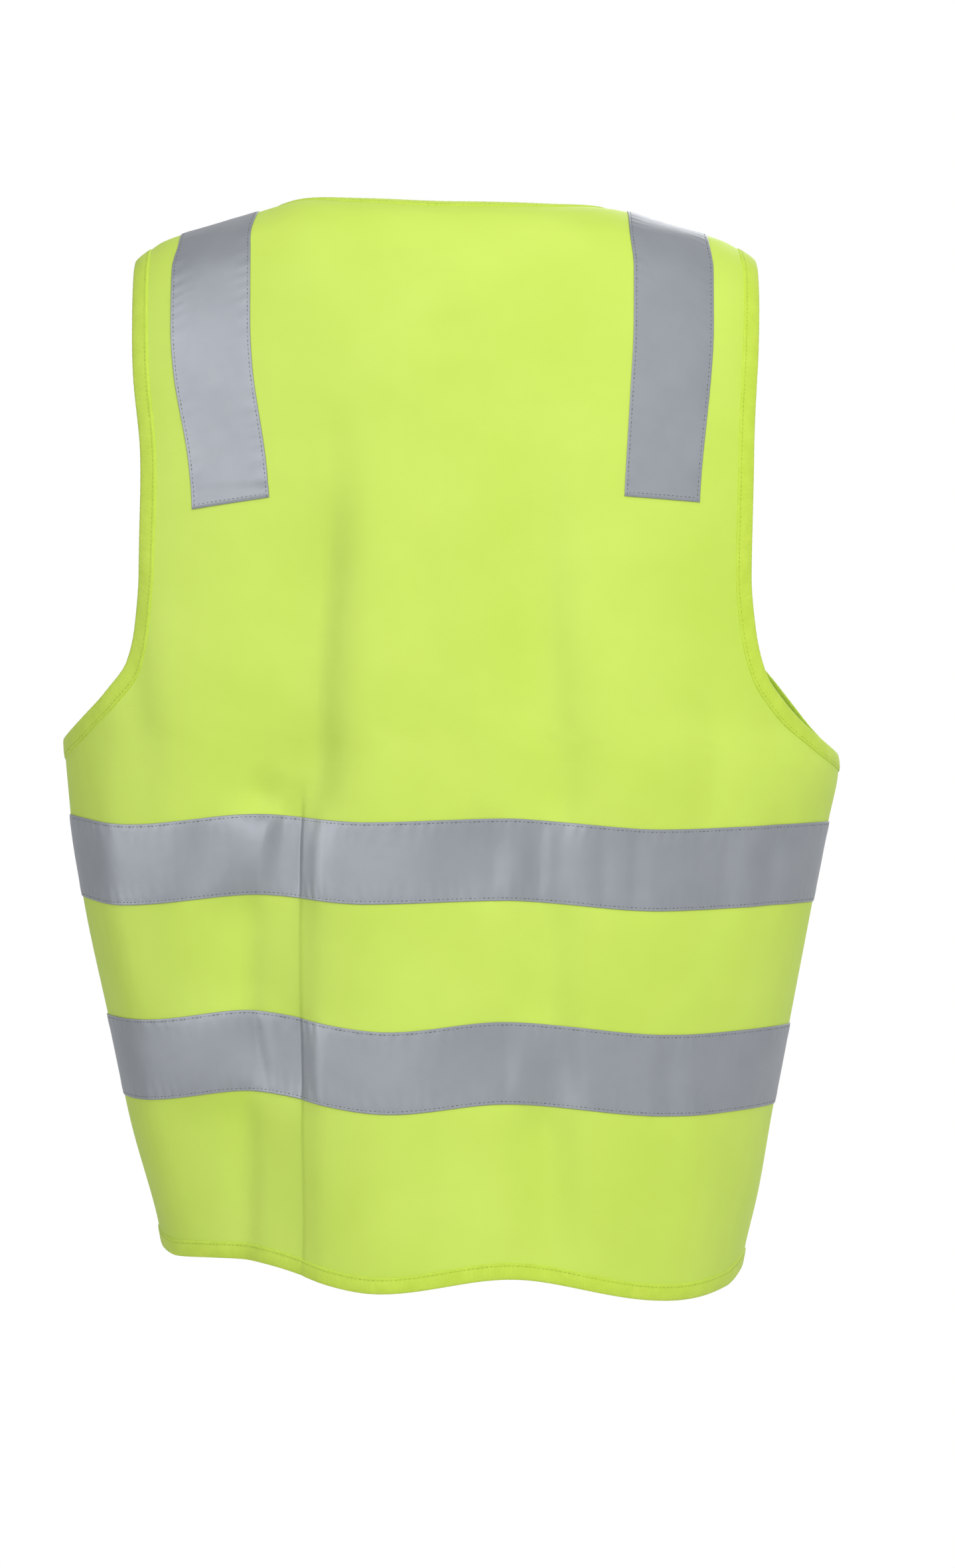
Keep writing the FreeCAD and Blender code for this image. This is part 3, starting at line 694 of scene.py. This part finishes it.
class Finish:
    """Material round one Principled shader; even values go straight on the shader's sockets."""

    def __init__(self, name, on_cloth, **values):
        self.material = bpy.data.materials.new(name)
        self.material.use_nodes = True
        self.tree = self.material.node_tree
        self.shader = self.tree.nodes["Principled BSDF"]
        for socket, value in values.items():
            self.shader.inputs[socket.replace("_", " ")].default_value = value
        # Place of a point, in metres: on the cut cloth, or in the object's own frame
        if on_cloth:
            self.at = self.node("ShaderNodeUVMap", uv_map="cloth").outputs["UV"]
        else:
            self.at = self.node("ShaderNodeTexCoord").outputs["Object"]
        self.bump_out = None

    def node(self, kind, inputs=(), **settings):
        """Add a node to this material."""
        return add_node(self.tree, kind, inputs, **settings)

    def noise(self, size, detail=2.0):
        """Cloudy values with features of about that size, in metres."""
        inputs = {"Vector": self.at, "Scale": 1 / size, "Detail": detail}
        return self.node("ShaderNodeTexNoise", inputs).outputs["Fac"]

    def ribs(self, spacing, direction="X", wobble=0.0):
        """Soft parallel ribs at that spacing, in metres."""
        bands_per_scale = 20 / math.tau
        scale = 1 / (bands_per_scale * spacing)
        inputs = {"Vector": self.at, "Scale": scale, "Distortion": wobble, "Detail": 1.0}
        return self.node("ShaderNodeTexWave", inputs, bands_direction=direction).outputs["Fac"]

    def weave(self, spacing, wobble, cross_spacing, cross_wobble):
        """Ribs crossed by ribs."""
        inputs = {0: self.ribs(spacing, "X", wobble), 1: self.ribs(cross_spacing, "Y", cross_wobble)}
        return self.node("ShaderNodeMath", inputs, operation="MULTIPLY").outputs["Value"]

    def colour(self, low, high, size, detail=2.0):
        """The shader's colour: clouds of that size between two colours."""
        ramp = self.node("ShaderNodeValToRGB", {"Fac": self.noise(size, detail)})
        for element, place_on, colour in zip(ramp.color_ramp.elements, (0.3, 0.7), (low, high)):
            element.position = place_on
            element.color = (*colour, 1)
        self.tree.links.new(ramp.outputs["Color"], self.shader.inputs["Base Color"])

    def rough(self, low, high, size, detail=2.0):
        """The shader's roughness: clouds of that size between low and high."""
        inputs = {"Value": self.noise(size, detail), "To Min": low, "To Max": high}
        node = self.node("ShaderNodeMapRange", inputs)
        self.tree.links.new(node.outputs["Result"], self.shader.inputs["Roughness"])

    def bump(self, value, height, strength):
        """Relief of that height, in metres, on top of any before it."""
        inputs = {"Height": value, "Distance": height, "Strength": strength}
        if self.bump_out is not None:
            inputs["Normal"] = self.bump_out
        self.bump_out = self.node("ShaderNodeBump", inputs).outputs["Normal"]
        self.tree.links.new(self.bump_out, self.shader.inputs["Normal"])


def knit():
    """Smooth fluorescent knitted polyester: fine wales crossed by courses, with a faint sheen."""
    finish = Finish("fluorescent_knit", True, Specular_IOR_Level=0.4, Sheen_Weight=0.06,
                    Sheen_Roughness=0.4, Sheen_Tint=(0.8, 1.0, 0.3, 1.0))
    finish.colour((0.553, 0.745, 0.092), (0.603, 0.795, 0.117), 0.09, 3.0)
    finish.rough(0.5, 0.6, 0.02)
    finish.bump(finish.weave(0.0011, 0.6, 0.0009, 0.4), 0.00005, 0.22)
    finish.bump(finish.noise(0.012, 3.0), 0.0004, 0.25)
    return finish.material


def bias_binding():
    """Binding tape: ribbed, close to the cloth in colour, cloudy in small patches."""
    finish = Finish("binding_tape", True, Specular_IOR_Level=0.5, Sheen_Weight=0.1)
    finish.colour((0.52, 0.71, 0.05), (0.58, 0.77, 0.07), 0.012, 3.0)
    finish.rough(0.55, 0.7, 0.006)
    finish.bump(finish.ribs(0.0012, "X", 1.0), 0.00012, 0.6)
    finish.bump(finish.noise(0.005), 0.0004, 0.4)
    return finish.material


def glass_bead():
    """Silver grey tape of fine glass beads: satin, slightly metallic, with a fine grain."""
    finish = Finish("glass_bead_tape", True, Metallic=0.45, Specular_IOR_Level=0.5)
    finish.colour((0.325, 0.35, 0.385), (0.36, 0.385, 0.42), 0.035, 4.0)
    finish.rough(0.38, 0.48, 0.01, 3.0)
    finish.bump(finish.noise(0.0006), 0.00005, 0.6)
    finish.bump(finish.noise(0.007, 3.0), 0.0003, 0.3)
    return finish.material


def thread(name, low, high):
    """Spun polyester thread with a twist across it."""
    finish = Finish(name, False, Specular_IOR_Level=0.4)
    finish.colour(low, high, 0.004)
    finish.rough(0.55, 0.75, 0.003)
    finish.bump(finish.ribs(0.0004, "DIAGONAL"), 0.00005, 0.6)
    return finish.material


def woven(name, low, high, rib):
    """Close-woven narrow fabric with ribs along it."""
    finish = Finish(name, True, Specular_IOR_Level=0.45, Sheen_Weight=0.1)
    finish.colour(low, high, 0.008, 3.0)
    finish.rough(0.6, 0.75, 0.004)
    finish.bump(finish.weave(rib, 0.3, rib * 0.7, 0.3), 0.00015, 0.8)
    return finish.material


def moulded(name, low, high, metallic, smooth_to, rough_to):
    """Hard trim: moulded plastic or enamelled metal with faint wear."""
    finish = Finish(name, False, Metallic=metallic, Specular_IOR_Level=0.5)
    finish.colour(low, high, 0.006, 4.0)
    finish.rough(smooth_to, rough_to, 0.003, 4.0)
    finish.bump(finish.noise(0.0015, 4.0), 0.00006, 0.5)
    return finish.material


KNIT = knit()
BINDING_TAPE = bias_binding()
GLASS_BEAD = glass_bead()
GREY_THREAD = thread("grey_thread", (0.075, 0.072, 0.064), (0.13, 0.124, 0.108))
LIME_THREAD = thread("lime_thread", (0.36, 0.52, 0.03), (0.5, 0.68, 0.05))
ALLOWANCE = woven("overlocked_allowance", (0.46, 0.66, 0.04), (0.55, 0.75, 0.06), 0.0012)
LABEL_SATIN = woven("label_satin", (0.72, 0.72, 0.69), (0.8, 0.8, 0.78), 0.0006)
ZIP_WEAVE = woven("zip_weave", (0.42, 0.62, 0.035), (0.52, 0.72, 0.05), 0.001)
ZIP_PLASTIC = moulded("zip_plastic", (0.45, 0.66, 0.04), (0.52, 0.74, 0.06), 0.0, 0.3, 0.45)
ZIP_METAL = moulded("zip_enamel", (0.42, 0.62, 0.045), (0.48, 0.68, 0.06), 0.25, 0.25, 0.4)


# Fitting pieces to the frame

SIDES = (("left", -1), ("right", 1))
# Name, side, and sign of the side, which is 0 for the back
PANELS = (("back", BACK, 0), ("left", FRONT, -1), ("right", FRONT, 1))


def fit(piece, panel_name, slot, *nodes):
    """Fit a piece to the back body, or for a front bake its transform into its mesh; hide the CAD
    nodes it stands for.
    """
    if panel_name == "back":
        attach(piece, "back")
    else:
        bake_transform(piece)
    if nodes:
        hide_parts(*nodes)
    return piece


# Cloth

ROW_STEP = 2.6 * MM
# Each panel starts a little below the shoulder seam
BACK_TOP = -0.05 * MM
FRONT_TOP = -0.4 * MM
# Columns of the back on the left and right of the packing crease, and how they close up towards it
BACK_COLUMNS = (56, 120)
CLOSING_UP = (1.4, 1.25)
FRONT_COLUMNS = 84


def cloth_heights(top):
    """Heights of the rows of a panel, evenly spaced over its surface."""
    z = np.linspace(top, HEM + CLOTH_INSET, 4000)
    return resample(np.stack([half_width(z), 0 * z, z], -1), step=ROW_STEP)[:, 2]


def panel(name, side, turns, z):
    """Sheet of cloth through a grid of angles and heights."""
    top = place(side, turns, z[:, None], CLOTH * MM)
    bottom = place(side, turns, z[:, None], -CLOTH * MM)
    return closed_sheet(name, top, bottom, KNIT)


def make_back_panel():
    """Back: columns close up towards the packing crease."""
    z = cloth_heights(BACK_TOP)
    reach = turn_at(edge_reach(BACK, z), z)[:, None]
    middle = turn_at(np.full(len(z), CREASE_X), z)[:, None]
    left, right = BACK_COLUMNS
    leftward = (np.arange(left, 0, -1) / left) ** CLOSING_UP[0]
    rightward = (np.arange(right + 1) / right) ** CLOSING_UP[1]
    left_turns = middle + (-reach - middle) * leftward
    right_turns = middle + (reach - middle) * rightward
    piece = panel("back_cloth", BACK, np.concatenate([left_turns, right_turns], 1), z)
    return fit(piece, "back", "fluorescent_cloth", "back_panel")


def make_front_panel(side_name, sign):
    """One front, from its armhole and side seam to the zip."""
    z = cloth_heights(FRONT_TOP)
    start = turn_at(neck_reach(z), z)[:, None]
    end = turn_at(edge_reach(FRONT, z), z)[:, None]
    turns = sign * (start + (end - start) * np.linspace(0, 1, FRONT_COLUMNS))
    piece = panel(side_name + "_front_cloth", FRONT, turns, z)
    return fit(piece, side_name, "fluorescent_cloth", side_name + "_front_panel")


def armhole_line(side, sign):
    """Line inside an armhole edge, by distance inward."""
    return lambda inward: outline_line(ARMHOLE[side], sign, inward, 0)


def front_neck_line(sign):
    """Line inside a front neck edge, by distance inward."""
    return lambda inward: outline_line(NECKLINE, sign, inward, FRONT_EDGE)


def hem_line(sign):
    """Line above the hem of a front, or with sign 0 of the back, by distance inward."""
    return lambda inward: level_line(HEM + inward, sign)


def make_bindings():
    """Folded bindings of the neck, armholes and hem, by CAD node."""
    made = {}

    def bind(node, panel_name, side, line_at, count):
        piece = binding(node + "_fold", side, line_at, count, BINDING_TAPE)
        made[node] = fit(piece, panel_name, "binding", node)

    bind("neck_binding_back", "back", BACK, back_neck_line, 140)
    bind("hem_binding_back", "back", BACK, hem_line(0), 300)
    for name, sign in SIDES:
        bind("armhole_binding_%s_back" % name, "back", BACK, armhole_line(BACK, sign), 230)
        bind("armhole_binding_%s_front" % name, name, FRONT, armhole_line(FRONT, sign), 230)
        bind("neck_binding_" + name, name, FRONT, front_neck_line(sign), 150)
        bind("hem_binding_" + name, name, FRONT, hem_line(sign), 160)
    return made


def make_tapes():
    """Reflective tapes: two round the waist and one over each shoulder."""
    made = {}

    def sew(node, panel_name, side, line_at, count):
        lines = [line_at(v * MM) for v, _ in TAPE_SECTION]
        piece = tape(node + "_strip", side, lines, count, GLASS_BEAD)
        made[node] = fit(piece, panel_name, "reflective_tape", node)

    for level, top in (("upper", UPPER_TAPE), ("lower", LOWER_TAPE)):
        for panel_name, side, sign in PANELS:
            node = "%s_waist_tape_%s" % (level, panel_name)
            count = 180 if sign else 540
            sew(node, panel_name, side, lambda v: level_line(top - v, sign), count)
    for name, sign in SIDES:
        for panel_name, side, count in (("back", BACK, 110), (name, FRONT, 200)):
            node = "shoulder_tape_%s_%s" % (name, "back" if side == BACK else "front")
            sew(node, panel_name, side, lambda v: shoulder_tape_line(side, sign, v), count)
    return made


def tape_rows(stitches, side, sign):
    """Stitches of the tapes on one panel, outside and in; sign is 0 on the back."""
    for lift in TAPE_THREAD_LIFTS:
        for top in (UPPER_TAPE, LOWER_TAPE):
            for z in (top - STITCH_IN, top - TAPE + STITCH_IN):
                stitches.row(side, level_line(z, sign), lift)
        for hand in (sign,) if sign else (-1, 1):
            for across in (STITCH_IN, TAPE - STITCH_IN):
                stitches.row(side, shoulder_tape_line(side, hand, across), lift)
            if side == BACK:
                stitches.row(side, tape_end_line(hand), lift + TAPE_END_LIFT)


def tape_end_line(sign):
    """Line across the back end of a shoulder tape, a little above the end."""
    ends = [shoulder_tape_line(BACK, sign, v) for v in np.linspace(STITCH_IN, TAPE - STITCH_IN, 24)]
    turn = np.array([line[0][-1] for line in ends])
    z = np.array([line[1][-1] for line in ends])
    return turn, z + 1.5 * STITCH_IN


def binding_rows(stitches, side, sign):
    """Stitches along the bindings of one panel; sign is 0 on the back."""
    lines = [hem_line(sign)]
    lines += [back_neck_line] if side == BACK else [front_neck_line(sign)]
    lines += [armhole_line(side, hand) for hand in ((sign,) if sign else (-1, 1))]
    for line_at in lines:
        for lift in BINDING_THREAD_LIFTS:
            stitches.row(side, line_at(BINDING_STITCH_IN), lift)


def zip_rows(stitches, sign):
    """Stitches that hold the zip's tape behind one front edge."""
    for inward in ZIP_STITCH_IN:
        turn, z = upright_line(FRONT_EDGE + inward, HEM + 12 * MM, ZIP_TOP - 2 * MM)
        for lift in ZIP_THREAD_LIFTS:
            stitches.row(FRONT, (sign * turn, z), lift)


def make_stitches():
    """Thread of the tapes and bindings, one piece of each for each panel."""
    tape_thread = {}
    edge_thread = {}
    for panel_name, side, sign in PANELS:
        rows = Stitches(*TAPE_THREAD)
        tape_rows(rows, side, sign)
        tape_thread[panel_name] = rows.mesh(panel_name + "_tape_stitches", GREY_THREAD)
        rows = Stitches(*EDGE_THREAD)
        binding_rows(rows, side, sign)
        if sign:
            zip_rows(rows, sign)
        edge_thread[panel_name] = rows.mesh(panel_name + "_edge_stitches", LIME_THREAD)
        fit(tape_thread[panel_name], panel_name, "reflective_tape")
        fit(edge_thread[panel_name], panel_name, "binding")
    return tape_thread, edge_thread


# Seam allowances inside the back, in mm: heights of the side seams' ends, distances of the shoulder
# seams' ends from the middle, distances of the lines across an allowance from its seam
SIDE_SEAM = (-352, -661)
SHOULDER_SEAM = (106, 186)
ALLOWANCE_LINES = (1.2, 2.5, 4, 6, 8, 9.2)
ALLOWANCE_MIDDLE = 5
# The overlock's loops run between these distances from the seam
OVERLOCK_LINES = (3.2, 9.0)
# Waves of an allowance: height in mm, length of one
ALLOWANCE_WAVE = (0.15, 13 * MM)


def inside_line(z, from_seam, sign):
    """Line on the back at a distance behind a side seam, at the given heights."""
    return sign * np.arccos(np.clip(from_seam / depth[BACK](z), 0, 1)), z


def make_seams():
    """Seam allowances inside the back, turned backward and overlocked."""
    made = {}
    for side_name, sign in SIDES:
        side_z = np.linspace(*SIDE_SEAM, 400) * MM
        shoulder_x = np.linspace(*SHOULDER_SEAM, 120) * MM
        for node, at in (
            ("side_seam_" + side_name, lambda v: inside_line(side_z, v, sign)),
            ("shoulder_seam_" + side_name, lambda v: shoulder_line(shoulder_x, v, sign)),
        ):
            made[node] = fit(allowance(node + "_allowance", at), "back", "seam_allowance", node)
            overlock = node + "_overlock"
            made[overlock] = fit(overlock_loops(overlock, at), "back", "seam_allowance")
    return made


def allowance(name, at):
    """Strip of cloth inside the back, along the lines that at gives by distance from the seam."""
    wave_height, wave_length = ALLOWANCE_WAVE
    inner, outer = [], []
    for from_seam in ALLOWANCE_LINES:
        turn, z = at(from_seam * MM)
        outer.append(place(BACK, turn, z, LINING[0] * MM))
        inner.append(place(BACK, turn, z, (LINING[1] - wave_height * ripple(z, wave_length)) * MM))
    return closed_sheet(name, np.array(outer), np.array(inner), ALLOWANCE)


def overlock_loops(name, at):
    """Zigzag of thread over an allowance."""
    lift = (LINING[1] - 0.2) * MM
    near, far = (resample(place(BACK, *at(v * MM), lift), step=OVERLOCK_STEP) for v in OVERLOCK_LINES)
    count = min(len(near), len(far)) - 1
    middle = at(ALLOWANCE_MIDDLE * MM)
    inward = place(BACK, *middle, -3 * MM) - place(BACK, *middle, 0)
    normal = resample(inward, count=count)
    loops = Stitches(OVERLOCK_RADIUS)
    loops.add(near[:count], far[:count], normal)
    loops.add(far[:count], near[1:count + 1], normal)
    return loops.mesh(name, LIME_THREAD)


def shoulder_line(x, from_seam, sign):
    """Line on the back beside a shoulder seam."""
    z = height_at(BACK, x, np.full(x.shape, from_seam))
    return sign * turn_at(x, z), z


# Label, in mm: half its width, its top, its length, its thickness
LABEL_HALF_WIDTH = 22
LABEL_TOP = -12
LABEL_LENGTH = 50
LABEL_THICKNESS = 0.3
# How far its lower edge stands off the cloth, and the waves along that edge
LABEL_STAND = 2.2
LABEL_WAVE = 0.35


def make_label():
    """Blank satin label inside the back of the neck."""
    x = np.linspace(-LABEL_HALF_WIDTH, LABEL_HALF_WIDTH, 23) * MM
    z = np.linspace(LABEL_TOP, LABEL_TOP - LABEL_LENGTH, 26)[:, None] * MM + 0 * x
    drop = (LABEL_TOP * MM - z) / (LABEL_LENGTH * MM)
    off = LABEL_STAND * drop**2 + LABEL_WAVE * drop * np.sin(x / 0.009)
    lift = (LINING[1] - off) * MM
    turn = turn_at(x + 0 * z, z)
    top, bottom = place(BACK, turn, z, lift + LABEL_THICKNESS * MM), place(BACK, turn, z, lift)
    piece = closed_sheet("label_satin_sheet", top, bottom, LABEL_SATIN)
    return fit(piece, "back", "label_cloth", "neck_label")


# Zip tapes: lines down each, in mm from the middle, and the height of their lower ends
ZIP_TAPE_LINES = (11.4, 11.9, 13, 15, 18, 21, 24, 25.1, 25.4)
ZIP_TAPE_END = HEM + 10.2 * MM


def make_zip_tapes():
    """Woven tapes of the zip, sewn behind the folded front edges."""
    made = {}
    for side_name, sign in SIDES:
        z = np.linspace(ZIP_TOP, ZIP_TAPE_END, 240)[:, None]
        x = np.array(ZIP_TAPE_LINES) * MM
        turn = sign * turn_at(x + 0 * z, z)
        outer, inner = (place(FRONT, turn, z + 0 * turn, lift * MM) for lift in LINING)
        piece = closed_sheet("zip_tape_%s_weave" % side_name, outer, inner, ZIP_WEAVE)
        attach(piece, side_name + "_front")
        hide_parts("zip_tape_" + side_name)
        made["zip_tape_" + side_name] = piece
    return made


def finish_hardware():
    """Give the zip's own CAD pieces their finish."""
    for name, node in frame["nodes"].items():
        if name in ("zip_slider", "zip_pull"):
            finish = ZIP_METAL
        elif name.startswith("zip_") and not name.startswith("zip_tape"):
            finish = ZIP_PLASTIC
        else:
            continue
        node.data.materials.clear()
        node.data.materials.append(finish)


# Making everything

back_cloth = make_back_panel()
front_cloth = {side_name: make_front_panel(side_name, sign) for side_name, sign in SIDES}
bindings = make_bindings()
tapes = make_tapes()
tape_thread, edge_thread = make_stitches()
seams = make_seams()
label = make_label()
zip_tapes = make_zip_tapes()
finish_hardware()


# Studio: camera at the photograph's angle, soft lights, a pale floor well below the hanging vest

CAMERA_LENS = 123.1
CAMERA_AT = (0.0166, -3.4, -0.367)
# Soft lights facing the middle of the vest: name, size, power, place, reflections they light
AIM = (0, 0, -0.34)
LIGHTS = (
    ("key", 1.4, 28, (1.5, -2.4, 1.4), "matt"),
    ("camera_fill", 2.2, 27, (-1.2, -3.1, 1.2), "both"),
    ("left_gloss", 2.6, 36, (-3.0, -1.1, 0.5), "glossy"),
    ("overhead", 1.5, 16, (0.2, -1.3, 2.2), "matt"),
    ("front_fill", 2.0, 30, (0.9, 3.0, 0.9), "both"),
)
# Brightness of the room from its left, at 0, to its right, at 1
ROOM_SHADES = ((0.0, 0.38), (0.48, 0.67), (0.85, 0.67), (1.0, 0.57))
# Overhead the room dims to a share of that, between two heights of the direction looked in
ROOM_ABOVE = 0.64
ROOM_DIMMING = (0.3, 0.9)
FLOOR_RADIUS = 3.3
FLOOR_HEIGHT = -1.4


def make_camera():
    """Camera level with the middle of the vest, behind it."""
    view = bpy.data.cameras.new("camera")
    view.lens = CAMERA_LENS
    camera = add_object("camera", view)
    camera.location = CAMERA_AT
    camera.rotation_euler = (math.pi / 2, 0, 0)
    bpy.context.scene.camera = camera


def make_lights():
    """Square soft lights."""
    for name, size, power, place_at, kind in LIGHTS:
        lamp = bpy.data.lights.new(name, "AREA")
        lamp.size = size
        lamp.energy = power
        light = add_object(name, lamp)
        light.location = place_at
        way = Vector(AIM) - Vector(place_at)
        light.rotation_euler = way.to_track_quat("-Z", "Y").to_euler()
        light.visible_diffuse = kind != "glossy"
        light.visible_glossy = kind != "matt"


def make_room():
    """White surroundings that light the vest less from the left and from above."""
    world = bpy.data.worlds.new("white_room")
    world.use_nodes = True
    tree = world.node_tree
    room = tree.nodes["Background"]
    way = add_node(tree, "ShaderNodeTexCoord").outputs["Generated"]
    parts = add_node(tree, "ShaderNodeSeparateXYZ", {"Vector": way}).outputs

    inputs = {"Value": parts["X"], "From Min": -1}
    across = add_node(tree, "ShaderNodeMapRange", inputs).outputs["Result"]
    shade = add_node(tree, "ShaderNodeValToRGB", {"Fac": across})
    shade.color_ramp.interpolation = "EASE"
    for _ in ROOM_SHADES[2:]:
        shade.color_ramp.elements.new(0.5)
    for element, (place_on, grey) in zip(shade.color_ramp.elements, ROOM_SHADES):
        element.position = place_on
        element.color = (grey, grey, grey, 1)
    tree.links.new(shade.outputs["Color"], room.inputs["Color"])

    low, high = ROOM_DIMMING
    inputs = {"Value": parts["Z"], "From Min": low, "From Max": high, "To Max": ROOM_ABOVE}
    inputs["To Min"] = 1.0
    above = add_node(tree, "ShaderNodeMapRange", inputs, interpolation_type="SMOOTHSTEP")
    tree.links.new(above.outputs["Result"], room.inputs["Strength"])

    # The camera itself sees plain white
    seen = add_node(tree, "ShaderNodeBackground", {"Color": (1, 1, 1, 1), "Strength": 1.0})
    direct = add_node(tree, "ShaderNodeLightPath").outputs["Is Camera Ray"]
    backgrounds = {0: direct, 1: room.outputs["Background"], 2: seen.outputs["Background"]}
    mix = add_node(tree, "ShaderNodeMixShader", backgrounds)
    tree.links.new(mix.outputs["Shader"], tree.nodes["World Output"].inputs["Surface"])
    bpy.context.scene.world = world
    bpy.context.scene.view_settings.view_transform = "Standard"


def make_floor():
    """Pale painted floor."""
    paint = Finish("floor_paint", False, Specular_IOR_Level=0.2)
    paint.colour((0.84, 0.84, 0.84), (0.88, 0.88, 0.88), 0.4, 3.0)
    paint.rough(0.8, 0.9, 0.1, 3.0)
    bpy.ops.mesh.primitive_circle_add(
        vertices=96, radius=FLOOR_RADIUS, fill_type="NGON", location=(0, 0, FLOOR_HEIGHT)
    )
    floor = bpy.context.object
    floor.name = "floor"
    floor.data.materials.append(paint.material)


make_camera()
make_lights()
make_room()
make_floor()
